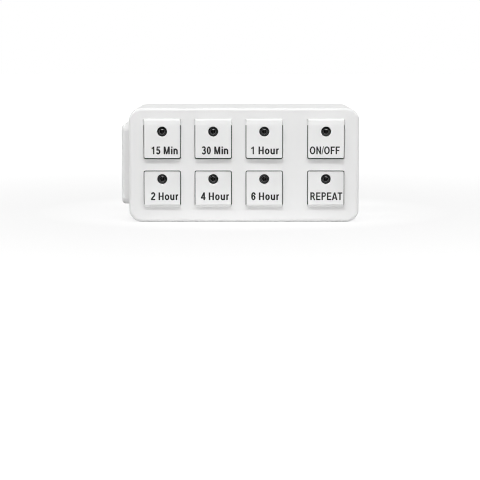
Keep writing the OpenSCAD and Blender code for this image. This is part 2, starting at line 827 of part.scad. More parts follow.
module ground_contact() {
    tube_r = ground_d / 2 + slip;
    tube_start = flange_x + sleeve_len + 0.3;
    color(brass) {
        difference() {
            rightward(tube_start, outlet_level, ground_z) {
                cylinder(r = tube_r + strip_t, h = pocket_end - tube_start);
                translate([0, 0, pocket_end - tube_start - strip_t])
                    cylinder(d = sleeve_d, h = strip_t);
            }
            rightward(tube_start - cut, outlet_level, ground_z)
                cylinder(r = tube_r, h = pocket_end - tube_start - strip_t + cut);
            rightward(tube_start - cut, outlet_level, ground_z)
                translate([-tube_r - strip_t - cut, -0.4, 0])
                    cube([2 * (tube_r + strip_t + cut), 0.8, cut + 6]);
        }
        contact_tail(outlet_level, ground_z);
    }
}

// Wire that stands on the power board and bends over to a contact's tail
module outlet_wire(level, z) {
    r = wire_d / 2;
    forward(power_front, wire_x, z) cylinder(r = r, h = level - wire_bend - power_front);
    translate([tail_end, -(level - wire_bend), z])
        rotate([0, 0, -90]) rotate_extrude(angle = 90) translate([wire_bend, 0]) circle(r);
}

module case_screws() {
    color(steel) for (x = [-case_x, case_x], z = [-case_z, case_z])
        forward(case_head_sunk + case_head_t, x, z)
            screw(case_screw_d, case_screw_len, case_head_d, case_head_t);
}

front_housing();
rear_cover();
outlet_face();
outlet_body();
for (k = KEYS) {
    key(k);
    led(k);
    switch_body(k);
    plunger(k);
}
control_board();
control_board_screws();
microcontroller();
ribbon_cable();
power_board();
power_board_screws();
relay();
film_capacitor();
filter_capacitor();
fuse();
rectifier();
varistor();
blade(blade_pitch / 2);  // line_blade
blade(-blade_pitch / 2);  // neutral_blade
ground_pin();
blade_contact(1);  // line_contact
blade_contact(-1);  // neutral_contact
ground_contact();
color(black) outlet_wire(outlet_level + blade_pitch / 2, tail_z(1));  // line_wire
color("white") outlet_wire(outlet_level - blade_pitch / 2, tail_z(-1));  // neutral_wire
color("green") outlet_wire(outlet_level, ground_z);  // ground_wire
case_screws();
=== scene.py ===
"""Plug-in timer switch with eight hinged keys, a side outlet and a grounded wall plug."""

import math
from collections import namedtuple

import bmesh
import bpy
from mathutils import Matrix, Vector


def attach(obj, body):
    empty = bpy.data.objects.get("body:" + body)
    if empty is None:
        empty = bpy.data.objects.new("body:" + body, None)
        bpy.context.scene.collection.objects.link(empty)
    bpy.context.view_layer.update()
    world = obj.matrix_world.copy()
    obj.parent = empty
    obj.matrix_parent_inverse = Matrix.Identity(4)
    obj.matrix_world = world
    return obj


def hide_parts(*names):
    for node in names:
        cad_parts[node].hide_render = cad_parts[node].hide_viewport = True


MM = 0.001

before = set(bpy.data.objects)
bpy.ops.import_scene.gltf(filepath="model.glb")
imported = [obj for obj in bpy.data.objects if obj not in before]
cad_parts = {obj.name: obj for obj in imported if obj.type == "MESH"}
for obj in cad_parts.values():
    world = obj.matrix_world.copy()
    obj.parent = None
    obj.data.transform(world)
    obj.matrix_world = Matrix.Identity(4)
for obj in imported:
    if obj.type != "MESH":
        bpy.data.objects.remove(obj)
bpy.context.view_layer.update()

# Places and sizes, in millimetres
COLUMNS = (-26.475, -9.975, 6.525, 26.475)
HALF_W, HALF_H, FACE, SEAM = 37.25, 18.5, -42, -3
CORNER, WALL = 4.1, 2
KEY_FACE, KEY_BACK, KEY_HALF, SIDE_GAP = -43, -41, 5.77, 0.26
HINGE, HINGE_ROOM, WEB_BACK, WEB_LENGTH = 12.92, 0.002, -42.2, 1.8
LAMP_R, LAMP_TIP = 1.36, -42.7
OUTLET_FACE, OUTLET_Y = -39.85, -21.5
BLADE_X, BLADE_Z, BLADE_HALF, BLADE_END = 6.35, 5, 0.75, 17.5
GROUND_Z, PIN_R, PIN_END = -6.9, 2.4, 20.5
SCREWS = ((-33.05, -14.3), (-33.05, 14.3), (33.05, -14.3), (33.05, 14.3))
BOARD_BOSSES = ((-18.225, -8.5), (-18.225, 8.5), (16.5, -8.5), (16.5, 8.5))
BOARD_POSTS = ((-14.75, 10.8), (27.45, 3.8))
RAILS_Y = (-27.93, -15.07)

# A row of keys, drawn hinged at the top: free end, gap beyond it, rounding of the lip, flat of the
# ridge behind the hinge and how far it sinks, slope down to the housing, rounding of the crest,
# flare of the foot, heights of the lamp and the switch. A row turned over is mirrored in Z.
Row = namedtuple("Row", "names turned free gap lip flat sink slope crest flare lamp switch")
ROWS = (
    Row(("15_min", "30_min", "1_hour", "on_off"), False, free=2.36, gap=0.43, lip=0.12, flat=1.75,
        sink=0.22, slope=0.28, crest=0.35, flare=1.1, lamp=10.875, switch=5.075),
    Row(("2_hour", "4_hour", "6_hour", "repeat"), True, free=2.05, gap=0.31, lip=0.25, flat=0.03,
        sink=0, slope=0.6, crest=0.42, flare=1, lamp=4.475, switch=8.475),
)


# ---- Modelling tools: all of them take millimetres ----

SHARP = math.radians(32)  # least angle between faces that makes an edge sharp


def point(x, y, z):
    return Vector((x, y, z)) * MM


def select_only(piece):
    bpy.ops.object.select_all(action="DESELECT")
    piece.select_set(True)
    bpy.context.view_layer.objects.active = piece


def apply_place(piece):
    select_only(piece)
    bpy.ops.object.transform_apply(location=True, rotation=True, scale=True)


def finish_primitive(name):
    piece = bpy.context.object
    piece.name = piece.data.name = name
    apply_place(piece)
    return piece


def around(middle, half):
    """Pair of limits at the same distance from the middle"""
    return (middle - half, middle + half)


def add_block(name, x, y, z):
    """Box between pairs of limits along each axis"""
    bpy.ops.object.select_all(action="DESELECT")
    middle = point(sum(x) / 2, sum(y) / 2, sum(z) / 2)
    size = point(x[1] - x[0], y[1] - y[0], z[1] - z[0])
    bpy.ops.mesh.primitive_cube_add(size=1, location=middle, scale=size)
    return finish_primitive(name)


def add_rod(name, centre, radius, length, axis="y", sides=48):
    """Cylinder round its centre along one axis"""
    bpy.ops.object.select_all(action="DESELECT")
    turn = {"x": (0, math.pi / 2, 0), "y": (math.pi / 2, 0, 0), "z": (0, 0, 0)}[axis]
    bpy.ops.mesh.primitive_cylinder_add(
        vertices=sides, radius=radius * MM, depth=length * MM, location=point(*centre),
        rotation=turn)
    return finish_primitive(name)


def start_edit(piece):
    select_only(piece)
    bpy.ops.object.mode_set(mode="EDIT")
    bpy.ops.mesh.select_all(action="DESELECT")


def end_edit():
    bpy.ops.object.mode_set(mode="OBJECT")


def pick_faces(piece, wanted):
    """Selects the faces for which wanted(centre, normal) holds"""
    bpy.ops.mesh.select_mode(type="FACE")
    bpy.ops.mesh.select_all(action="DESELECT")
    mesh = bmesh.from_edit_mesh(piece.data)
    for face in mesh.faces:
        face.select_set(bool(wanted(face.calc_center_median() / MM, face.normal)))
    bmesh.update_edit_mesh(piece.data)


def pick_edges(piece, wanted):
    """Selects the edges for which wanted(one end, other end) holds"""
    bpy.ops.mesh.select_mode(type="EDGE")
    bpy.ops.mesh.select_all(action="DESELECT")
    mesh = bmesh.from_edit_mesh(piece.data)
    for edge in mesh.edges:
        edge.select_set(bool(wanted(edge.verts[0].co / MM, edge.verts[1].co / MM)))
    bmesh.update_edit_mesh(piece.data)


def round_edges(width, segments):
    bpy.ops.mesh.bevel(offset=width * MM, offset_type="OFFSET", segments=segments, affect="EDGES")


def round_at(piece, wanted, width, segments):
    """Rounds the edges of a piece for which wanted holds"""
    start_edit(piece)
    pick_edges(piece, wanted)
    round_edges(width, segments)
    end_edit()


def inset_faces(width):
    bpy.ops.mesh.inset(thickness=width * MM)


def extrude_faces(x, y, z):
    bpy.ops.mesh.extrude_region_move(TRANSFORM_OT_translate={"value": point(x, y, z)})


def scale_faces(factors, centre):
    bpy.ops.transform.resize(value=factors, center_override=point(*centre))


def level(axis, value):
    """Test for edges that lie at one value of one axis"""
    return lambda a, b: abs(a[axis] - value) < 0.005 and abs(b[axis] - value) < 0.005


def along(axis):
    """Test for edges that run along one axis"""
    return lambda a, b: (a - b).length > 0.01 and abs(a[axis] - b[axis]) > 0.99 * (a - b).length


def facing(axis, sign):
    """Test for faces that look one way along one axis"""
    return lambda centre, normal: normal[axis] * sign > 0.99


def outer_seam(a, b):
    """Test for the outer edges where the housing and the rear cover meet"""
    return level(1, SEAM)(a, b) and (abs(a.x) > HALF_W - 1.9 or abs(a.z) > HALF_H - 1.9)


def combine(piece, other, operation):
    """Boolean of two pieces: UNION, DIFFERENCE or INTERSECT. The other piece is used up."""
    modifier = piece.modifiers.new("combine", "BOOLEAN")
    modifier.operation = operation
    modifier.solver = "EXACT"
    modifier.object = other
    select_only(piece)
    bpy.ops.object.modifier_apply(modifier=modifier.name)
    bpy.data.objects.remove(other)


def soften_edges(piece, width, segments=2):
    """Rounds every sharp edge of a piece by a little"""
    modifier = piece.modifiers.new("soften", "BEVEL")
    modifier.width = width * MM
    modifier.segments = segments
    modifier.limit_method = "ANGLE"
    modifier.angle_limit = SHARP
    modifier.use_clamp_overlap = True
    select_only(piece)
    bpy.ops.object.modifier_apply(modifier=modifier.name)


def smooth_shade(piece):
    select_only(piece)
    bpy.ops.object.shade_smooth_by_angle(angle=SHARP)
    modifier = piece.modifiers.new("even_normals", "WEIGHTED_NORMAL")
    modifier.keep_sharp = True
    bpy.ops.object.modifier_apply(modifier=modifier.name)


def copy_piece(piece, name, shift=(0, 0, 0)):
    twin = piece.copy()
    twin.data = piece.data.copy()
    twin.name = twin.data.name = name
    bpy.context.collection.objects.link(twin)
    twin.location = point(*shift)
    apply_place(twin)
    return twin


def mirror_piece(piece, axis):
    """Turns a piece into its mirror image across the frame's own plane"""
    scale = [1, 1, 1]
    scale[axis] = -1
    piece.scale = scale
    apply_place(piece)
    start_edit(piece)
    bpy.ops.mesh.select_all(action="SELECT")
    bpy.ops.mesh.normals_make_consistent(inside=False)
    end_edit()


def place(piece, body, material, slot, *nodes):
    """Dresses a finished piece in one material, hangs it on the body it moves with and hides the
    parts it stands for
    """
    piece.data.materials.clear()
    piece.data.materials.append(material)
    settle(piece, body, slot, *nodes)


def settle(piece, body, slot, *nodes):
    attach(piece, body)
    if nodes:
        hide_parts(*nodes)


# ---- Materials ----

class Value:
    """A socket that can be used in an expression"""

    def __init__(self, finish, socket):
        self.finish = finish
        self.socket = socket

    def math(self, operation, *values):
        return self.finish.node("ShaderNodeMath", {"operation": operation}, dict(enumerate(values)))

    def __add__(self, other):
        return self.math("ADD", self, other)

    def __radd__(self, other):
        return self.math("ADD", other, self)

    def __mul__(self, other):
        return self.math("MULTIPLY", self, other)

    def __rmul__(self, other):
        return self.math("MULTIPLY", other, self)


class Finish:
    """A material under construction, with its Principled shader"""

    def __init__(self, name, **sockets):
        self.material = bpy.data.materials.new(name)
        self.material.use_nodes = True
        self.tree = self.material.node_tree
        self.shader = self.tree.nodes["Principled BSDF"]
        self.place = self.node("ShaderNodeTexCoord", output="Object")
        for socket, value in sockets.items():
            self.set(socket.replace("_", " "), value)

    def node(self, kind, settings=None, inputs=None, output=0):
        made = self.tree.nodes.new(kind)
        for name, value in (settings or {}).items():
            if name == "stops":
                stops = made.color_ramp.elements
                for element, (position, shade) in zip((stops[0], stops[1]), value):
                    element.position = position
                    element.color = shade
            else:
                setattr(made, name, value)
        for name, value in (inputs or {}).items():
            self.feed(made.inputs[name], value)
        return Value(self, made.outputs[output])

    def feed(self, socket, value):
        if isinstance(value, Value):
            self.tree.links.new(value.socket, socket)
        else:
            socket.default_value = value

    def set(self, name, value):
        self.feed(self.shader.inputs[name], value)

    def noise(self, scale, detail=2.0, roughness=0.5, stretch=(1, 1, 1)):
        where = self.place
        if stretch != (1, 1, 1):
            where = self.node("ShaderNodeMapping", None, {"Vector": self.place, "Scale": stretch})
        return self.node("ShaderNodeTexNoise", None, {
            "Vector": where, "Scale": scale, "Detail": detail, "Roughness": roughness})

    def between(self, factor, first, second):
        return self.node("ShaderNodeMix", {"data_type": "RGBA"},
                         {"Factor": factor, 6: first, 7: second}, output=2)

    def ramp(self, value, low, high, first=0, last=1):
        """Goes evenly from first to last while a value goes from low to high"""
        return self.node("ShaderNodeMapRange", None, {
            "Value": value, "From Min": low, "From Max": high, "To Min": first, "To Max": last})

    def bump(self, height, distance):
        self.set("Normal", self.node("ShaderNodeBump", None, {
            "Height": height, "Distance": distance, "Strength": 1}))


def grey(value):
    return (value, value, value, 1)


def moulded_plastic(name, pale, dark, gloss, grain):
    """Injection-moulded plastic: an even colour with a faint cloud, and a fine grained skin"""
    finish = Finish(name, Specular_IOR_Level=0.35)
    cloud = finish.noise(55, 3)
    skin = finish.noise(2600, 3, 0.6)
    finish.set("Base Color", finish.between(cloud, dark, pale))
    finish.set("Roughness", gloss + 0.07 * finish.noise(420, 2) + 0.05 * skin)
    finish.bump(skin + 0.35 * finish.noise(700, 2), grain)
    return finish.material


def plain_metal(name, pale, dark, rough, stretch=(1, 1, 1)):
    """Plated or drawn metal: fine lines along one way and a dulled roughness here and there"""
    finish = Finish(name, Metallic=1.0)
    lines = finish.noise(900, 3, 0.6, stretch)
    finish.set("Base Color", finish.between(finish.noise(160, 3), dark, pale))
    finish.set("Roughness", rough + 0.12 * lines + 0.08 * finish.noise(260))
    finish.bump(lines, 0.000004)
    return finish.material


white_plastic = moulded_plastic(
    "white_plastic", (0.86, 0.86, 0.858, 1), (0.83, 0.83, 0.828, 1), 0.42, 0.000006)
key_plastic = moulded_plastic(
    "key_plastic", (0.87, 0.87, 0.868, 1), (0.845, 0.845, 0.843, 1), 0.4, 0.000005)
cover_plastic = moulded_plastic(
    "cover_plastic", (0.85, 0.85, 0.848, 1), (0.81, 0.81, 0.808, 1), 0.38, 0.000012)
black_plastic = moulded_plastic(
    "black_plastic", (0.035, 0.035, 0.037, 1), (0.022, 0.022, 0.024, 1), 0.42, 0.00001)
blue_plastic = moulded_plastic(
    "blue_plastic", (0.03, 0.12, 0.4, 1), (0.022, 0.09, 0.33, 1), 0.36, 0.00001)
yellow_epoxy = moulded_plastic(
    "yellow_epoxy", (0.7, 0.52, 0.08, 1), (0.62, 0.45, 0.06, 1), 0.3, 0.00001)
orange_epoxy = moulded_plastic(
    "orange_epoxy", (0.62, 0.17, 0.03, 1), (0.5, 0.12, 0.02, 1), 0.34, 0.00002)
sleeve_film = moulded_plastic(
    "sleeve_film", (0.03, 0.03, 0.036, 1), (0.02, 0.02, 0.026, 1), 0.24, 0.000004)
grey_ribbon = moulded_plastic(
    "grey_ribbon", (0.33, 0.33, 0.34, 1), (0.27, 0.27, 0.28, 1), 0.45, 0.00001)
nickel = plain_metal("nickel", (0.78, 0.76, 0.72, 1), (0.68, 0.66, 0.62, 1), 0.2, (6, 0.4, 6))
brass = plain_metal("brass", (0.83, 0.62, 0.28, 1), (0.72, 0.5, 0.2, 1), 0.24)
steel = plain_metal("steel", (0.66, 0.66, 0.67, 1), (0.52, 0.52, 0.53, 1), 0.28)


def lamp_epoxy():
    """Near-black epoxy with a clear, polished skin: the black is painted shade of the dark hole
    seen through a clear lens
    """
    finish = Finish("lamp_epoxy", Specular_IOR_Level=1.0, IOR=1.65)
    # Near-black base colour: painted shade of the dark hole, seen through what is really a clear
    # lens
    finish.set("Base Color", finish.between(finish.noise(900), grey(0.001), grey(0.003)))
    finish.set("Roughness", 0.03 + 0.04 * finish.noise(1500))
    return finish.material


def lamp_leadframe_and_glint():
    """Grey of the lamp's post and cup, and of a ring on the dome that stands for the cup's rim seen
    through the lens, with a painted reflection on it
    """
    finish = Finish("lamp_leadframe_and_glint", Specular_IOR_Level=0.3)
    finish.set("Base Color", finish.between(finish.noise(1800), grey(0.012), grey(0.03)))
    finish.set("Roughness", 0.16 + 0.1 * finish.noise(1500))
    return finish.material


def printing_ink():
    """Pad-printed dark grey ink, slightly uneven in cover"""
    finish = Finish("printing_ink", Specular_IOR_Level=0.4)
    cover = finish.noise(1500, 3)
    finish.set("Base Color", finish.between(cover, grey(0.02), grey(0.036)))
    finish.set("Roughness", 0.4 + 0.15 * cover)
    finish.bump(cover, 0.000002)
    return finish.material


def circuit_board():
    """Green lacquer over fibre, with the weave and the copper faint beneath it"""
    finish = Finish("circuit_board", Coat_Weight=0.3)
    weave = finish.noise(1400, 2, 0.5, (1, 1, 6)) * finish.noise(1400, 2, 0.5, (6, 1, 1))
    tracks = finish.node("ShaderNodeValToRGB", {"stops": ((0.5, grey(0)), (0.54, grey(1)))},
                         {"Fac": finish.noise(230, 0)})
    lacquer = finish.between(weave, (0.006, 0.035, 0.016, 1), (0.009, 0.05, 0.022, 1))
    finish.set("Base Color", finish.between(tracks, lacquer, (0.012, 0.07, 0.03, 1)))
    finish.set("Roughness", 0.3 + 0.3 * weave)
    finish.bump(tracks, 0.00002)
    return finish.material


def wire_sleeve(name, pale, dark):
    """Even sleeve of a wire, slightly dulled by handling"""
    finish = Finish(name, Specular_IOR_Level=0.45)
    finish.set("Base Color", finish.between(finish.noise(300, 2), dark, pale))
    finish.set("Roughness", 0.38 + 0.12 * finish.noise(700))
    finish.bump(finish.noise(500), 0.00001)
    return finish.material


epoxy = lamp_epoxy()
leadframe_and_glint = lamp_leadframe_and_glint()
ink = printing_ink()
board_green = circuit_board()


# ---- Front housing ----

def key_window(row):
    """Cutter for a key's opening: its tongue with the slot round three sides"""
    end = row.free - row.gap
    half = KEY_HALF + SIDE_GAP
    cutter = add_block("window", (-half, half), (-44, -39), (end, HINGE))
    round_at(cutter, lambda a, b: along(1)(a, b) and level(2, end)(a, b), 0.6, 6)
    return cutter


def key_blank(row):
    """Key and hinge ridge in one, with their edges rounded"""
    crest_z = HINGE + row.flat
    top, foot = crest_z + 1, crest_z + row.slope
    blank = add_block("blank", (-KEY_HALF, KEY_HALF), (KEY_FACE, KEY_BACK), (row.free, top))
    start_edit(blank)
    # Slope: a chamfer of 1 mm, its foot then moved to where the slope ends
    pick_edges(blank, lambda a, b: level(1, KEY_FACE)(a, b) and level(2, top)(a, b))
    round_edges(1, 1)
    pick_edges(blank, level(2, top))
    bpy.ops.transform.translate(value=point(0, 0, row.slope - 1))
    if row.sink:
        bpy.ops.mesh.select_all(action="SELECT")
        bpy.ops.mesh.bisect(plane_co=point(0, 0, HINGE), plane_no=(0, 0, 1))
        pick_edges(blank, lambda a, b: level(1, KEY_FACE)(a, b) and level(2, crest_z)(a, b))
        bpy.ops.transform.translate(value=point(0, row.sink, 0))
    # Free corners, crest, then the lip all round the front
    pick_edges(blank, lambda a, b: along(1)(a, b) and level(2, row.free)(a, b))
    round_edges(0.4, 6)
    pick_edges(blank, lambda a, b: along(0)(a, b) and a.z > crest_z - 0.01 and a.y < FACE - 0.1)
    round_edges(row.crest, 4)
    pick_edges(blank, lambda a, b: max(a.y, b.y) < FACE + 0.01
               and (not along(0)(a, b) or level(2, row.free)(a, b)))
    round_edges(row.lip, 3)
    pick_edges(blank, level(2, foot))
    scale_faces((row.flare, 1, 1), (0, 0, 0))
    end_edit()
    return blank


def cut_at_hinge(piece, keep_key):
    """Part the key from its ridge at the hinge line, with a hair of room for the key to turn"""
    line = HINGE - HINGE_ROOM if keep_key else HINGE
    ridge_side = add_block("ridge_side", (-7, 7), (-45, -38), (line, 20))
    combine(piece, ridge_side, "DIFFERENCE" if keep_key else "INTERSECT")


def front_housing():
    """Deep shell with the keys' openings and ridges, the outlet's opening and its inner bosses"""
    shell = add_block("front_shell", (-HALF_W, HALF_W), (FACE, SEAM), (-HALF_H, HALF_H))
    start_edit(shell)
    pick_edges(shell, along(1))
    round_edges(CORNER, 12)
    pick_faces(shell, facing(1, 1))
    inset_faces(WALL)
    extrude_faces(0, FACE + WALL - SEAM, 0)
    pick_edges(shell, level(1, FACE))
    round_edges(1, 6)
    pick_edges(shell, outer_seam)
    round_edges(0.12, 2)
    end_edit()
    for row in ROWS:
        cutter = key_window(row)
        if row.turned:
            mirror_piece(cutter, 2)
        for x in COLUMNS:
            combine(shell, copy_piece(cutter, "cutter", (x, 0, 0)), "DIFFERENCE")
        bpy.data.objects.remove(cutter)
    opening = add_block("opening", (-38, -34.5), around(OUTLET_Y, 16.6), (-13.1, 13.1))
    round_at(opening, along(0), 2.5, 10)
    combine(shell, opening, "DIFFERENCE")
    for x, z in SCREWS:
        combine(shell, add_rod("corner_boss", (x, -19.25, z), 2.7, 28.5, sides=32), "UNION")
        combine(shell, add_rod("corner_hole", (x, -9.5, z), 1.3, 11, sides=24), "DIFFERENCE")
    for x, z in BOARD_BOSSES:
        combine(shell, add_rod("board_boss", (x, -38.55, z), 2.05, 4.5, sides=32), "UNION")
        combine(shell, add_rod("board_hole", (x, -37.9, z), 0.95, 3.4, sides=24), "DIFFERENCE")
    for y in RAILS_Y:
        for sign in (-1, 1):
            rail = add_block("rail", (-29.85, -15.85), around(y, 0.6), (11.1, 17.2))
            combine(rail, add_block("stop", (-16.95, -15.85), around(y, 0.6), (9.9, 12)), "UNION")
            if sign < 0:
                mirror_piece(rail, 2)
            combine(shell, rail, "UNION")
    soften_edges(shell, 0.07, 2)
    for row in ROWS:
        ridge = key_blank(row)
        cut_at_hinge(ridge, False)
        if row.turned:
            mirror_piece(ridge, 2)
        for x in COLUMNS:
            combine(shell, copy_piece(ridge, "ridge", (x, 0, 0)), "UNION")
        bpy.data.objects.remove(ridge)
    smooth_shade(shell)
    place(shell, "housing", white_plastic, "white_housing", "front_housing")


# ---- Keys ----

def lamp_hole(z):
    """Cutter for the hole that a lamp shows through, with a small lead-in at the face"""
    cutter = add_rod("lamp_hole", (0, -41.4, z), 1.6, 2.8)
    start_edit(cutter)
    pick_faces(cutter, facing(1, -1))
    extrude_faces(0, -0.2, 0)
    scale_faces((1.1, 1, 1.1), (0, KEY_FACE, z))
    extrude_faces(0, -1, 0)
    end_edit()
    return cutter


def make_key(row):
    """One key of a row, at the middle column, thinned at its hinge and with a nub behind"""
    key = key_blank(row)
    cut_at_hinge(key, True)
    web_end = HINGE - WEB_LENGTH
    groove = add_block("groove", (-6, 6), (WEB_BACK, -40), (web_end, 14))
    round_at(groove, lambda a, b: level(1, WEB_BACK)(a, b) and level(2, web_end)(a, b), 1.2, 1)
    combine(key, groove, "DIFFERENCE")
    combine(key, lamp_hole(row.lamp), "DIFFERENCE")
    nub = add_rod("nub", (0, -40.69, row.switch), 0.8, 1.62, sides=24)
    round_at(nub, level(1, -39.88), 0.2, 3)
    combine(key, nub, "UNION")
    smooth_shade(key)
    if row.turned:
        mirror_piece(key, 2)
    return key


def make_lamp(z):
    """Round lamp on a flange, with a grey ring on the dome for the rim of its cup seen through the
    lens, partly a painted reflection
    """
    lamp = add_rod("lamp", (0, LAMP_TIP + 2.7, z), LAMP_R, 5.4, sides=40)
    round_at(lamp, level(1, LAMP_TIP), LAMP_R - 0.01, 12)
    flange = add_rod("flange", (0, -37.8, z), 1.9, 1, sides=40)
    round_at(flange, level(1, -38.3), 0.15, 2)
    combine(lamp, flange, "UNION")
    for side in (-1, 1):
        combine(lamp, add_rod("leg", (1.27 * side, -36.6, z), 0.25, 1.9, sides=12), "UNION")
    # Post and cup stand a hair out of the dome, so that they show
    combine(lamp, add_block("post", (-0.13, 0.13), (LAMP_TIP - 0.02, -42), (z - 0.6, z + 0.2)),
            "UNION")
    combine(lamp, add_block("cup", (-0.3, 0.3), (LAMP_TIP - 0.03, -42), (z + 0.15, z + 0.38)),
            "UNION")
    smooth_shade(lamp)
    for material in (epoxy, leadframe_and_glint, steel):
        lamp.data.materials.append(material)
    for face in lamp.data.polygons:
        away = math.hypot(face.center.x / MM, face.center.z / MM - z)
        depth = face.center.y / MM
        # Ring of lighter grey on the dome's skin: the cup's rim seen through the lens, partly a
        # painted reflection
        on_painted_rim = depth < -41.5 and 0.9 < away < 1.12
        if depth > -37.29:
            face.material_index = 2
        elif on_painted_rim or depth < LAMP_TIP - 0.005:
            face.material_index = 1
    return lamp


# ---- Printed words ----

CAPITAL = 2.5  # height of a printed capital
STEM, THIN = 0.2, 0.17  # widths of strokes, in heights of a capital


def bar(x0, y0, x1, y1):
    return [[(x0, y0), (x1, y0), (x1, y1), (x0, y1)]]


def arc(cx, cy, rx, ry, start, stop, steps=16):
    turn = [math.radians(start + (stop - start) * i / steps) for i in range(steps + 1)]
    return [(cx + rx * math.cos(a), cy + ry * math.sin(a)) for a in turn]


def loop(cx, cy, rx, ry):
    """Closed bowl: an outer oval and the counter inside it"""
    outer = arc(cx, cy, rx, ry, 0, 360, 40)[:-1]
    inner = arc(cx, cy, rx - STEM, ry - THIN, 0, 360, 40)[:-1]
    return [outer, inner]


def pen(path, width=STEM):
    """Outline of a stroke of even width along a path"""
    left, right = [], []
    for i, (x, y) in enumerate(path):
        before = path[max(i - 1, 0)]
        after = path[min(i + 1, len(path) - 1)]
        dx, dy = after[0] - before[0], after[1] - before[1]
        size = math.hypot(dx, dy)
        shift_x, shift_y = -dy / size * width / 2, dx / size * width / 2
        left.append((x + shift_x, y + shift_y))
        right.append((x - shift_x, y - shift_y))
    return [left + right[::-1]]


def stem(x, height=1.0):
    return bar(x, 0, x + STEM, height)


ARCH = pen(arc(0.345, 0.445, 0.19, 0.205, 165, 0) + [(0.535, 0.2), (0.535, 0)])
BOWL = pen([(0.1, 0.925)] + arc(0.42, 0.715, 0.195, 0.21, 90, -90) + [(0.1, 0.505)], 0.175)

# Each letter: its width, then the strokes that make it up, in heights of a capital
LETTERS = {
    " ": (0.3, []),
    "/": (0.3, [[[(-0.02, -0.02), (0.1, -0.02), (0.32, 1.02), (0.2, 1.02)]]]),
    "0": (0.637, [loop(0.3185, 0.5, 0.268, 0.515)]),
    "1": (0.637, [[[(0.445, 0), (0.445, 1), (0.32, 1), (0.24, 0.89), (0.1, 0.815), (0.1, 0.66),
                    (0.2, 0.69), (0.273, 0.74), (0.273, 0)]]]),
    "2": (0.637, [pen(arc(0.315, 0.715, 0.183, 0.222, 172, -20)
                      + [(0.43, 0.53), (0.26, 0.34), (0.13, 0.15), (0.105, 0.04)]),
                  bar(0.04, 0, 0.585, THIN)]),
    "3": (0.637, [pen(arc(0.305, 0.742, 0.165, 0.2, 165, -90), 0.19),
                  pen(arc(0.305, 0.29, 0.19, 0.232, 90, -165), 0.195),
                  bar(0.22, 0.455, 0.33, 0.6)]),
    "4": (0.637, [bar(0.345, 0, 0.54, 1), bar(0.02, 0.2, 0.62, 0.37),
                  [[(0.345, 1), (0.52, 1), (0.215, 0.33), (0.02, 0.33)]]]),
    "5": (0.637, [bar(0.14, 0.855, 0.565, 1),
                  [[(0.125, 1), (0.27, 1), (0.225, 0.55), (0.06, 0.47)]],
                  pen(arc(0.3, 0.325, 0.192, 0.252, 135, -162))]),
    "6": (0.637, [loop(0.322, 0.325, 0.268, 0.34),
                  pen(arc(0.34, 0.53, 0.2, 0.405, 22, 180) + [(0.14, 0.4), (0.143, 0.32)])]),
    "A": (0.8, [[[(0, 0), (0.21, 0), (0.49, 1), (0.3, 1)]],
                [[(0.8, 0), (0.59, 0), (0.31, 1), (0.5, 1)]],
                bar(0.16, 0.2, 0.64, 0.35)]),
    "E": (0.764, [[[(0.08, 0), (0.71, 0), (0.71, THIN), (0.08 + STEM, THIN), (0.08 + STEM, 0.43),
                    (0.665, 0.43), (0.665, 0.57), (0.08 + STEM, 0.57), (0.08 + STEM, 1 - THIN),
                    (0.695, 1 - THIN), (0.695, 1), (0.08, 1)]]]),
    "F": (0.7, [[[(0.08, 0), (0.08 + STEM, 0), (0.08 + STEM, 0.42), (0.6, 0.42), (0.6, 0.56),
                  (0.08 + STEM, 0.56), (0.08 + STEM, 1 - THIN), (0.665, 1 - THIN), (0.665, 1),
                  (0.08, 1)]]]),
    "H": (0.827, [stem(0.08), stem(0.747 - STEM), bar(0.1, 0.435, 0.7, 0.575)]),
    "M": (0.954, [stem(0.08), stem(0.874 - STEM), [[(0.08, 1), (0.31, 1), (0.55, 0), (0.404, 0)]],
                  [[(0.874, 1), (0.644, 1), (0.404, 0), (0.55, 0)]]]),
    "N": (0.827, [stem(0.08), stem(0.747 - STEM),
                  [[(0.08, 1), (0.24, 1), (0.747, 0), (0.587, 0)]]]),
    "O": (0.891, [loop(0.4455, 0.5, 0.4, 0.515)]),
    "P": (0.764, [stem(0.08), BOWL]),
    "R": (0.81, [stem(0.08), BOWL, [[(0.35, 0.5), (0.535, 0.5), (0.79, 0), (0.59, 0)]]]),
    "T": (0.7, [bar(0.02, 1 - THIN, 0.68, 1), stem(0.35 - STEM / 2)]),
    "i": (0.318, [stem(0.073, 0.725), bar(0.073, 0.845, 0.073 + STEM, 1)]),
    "n": (0.7, [stem(0.07, 0.725), ARCH]),
    "o": (0.7, [loop(0.35, 0.362, 0.295, 0.378)]),
    "r": (0.446, [stem(0.07, 0.725), pen(arc(0.36, 0.42, 0.2, 0.235, 165, 80))]),
    "u": (0.7, [[[(0.69 - x, 0.725 - y) for x, y in outline] for outline in part] for part in (
        [[(0.07, 0), (0.07 + STEM, 0), (0.07 + STEM, 0.725), (0.07, 0.725)]], ARCH)]),
}

# Each legend: its key, its words, where it starts and ends along X, the height it stands on
UPPER_LINE, LOWER_LINE = 3.6, -11.25
LEGENDS = (
    ("15_min", "15 Min", -29.83, -21.4, UPPER_LINE),
    ("30_min", "30 Min", -13.68, -5.1, UPPER_LINE),
    ("1_hour", "1 Hour", 2.32, 11.2, UPPER_LINE),
    ("on_off", "ON/OFF", 21.2, 30.9, UPPER_LINE),
    ("2_hour", "2 Hour", -30.18, -21.3, LOWER_LINE),
    ("4_hour", "4 Hour", -13.98, -4.9, LOWER_LINE),
    ("6_hour", "6 Hour", 2.32, 11.3, LOWER_LINE),
    ("repeat", "REPEAT", 21.45, 31.8, LOWER_LINE),
)


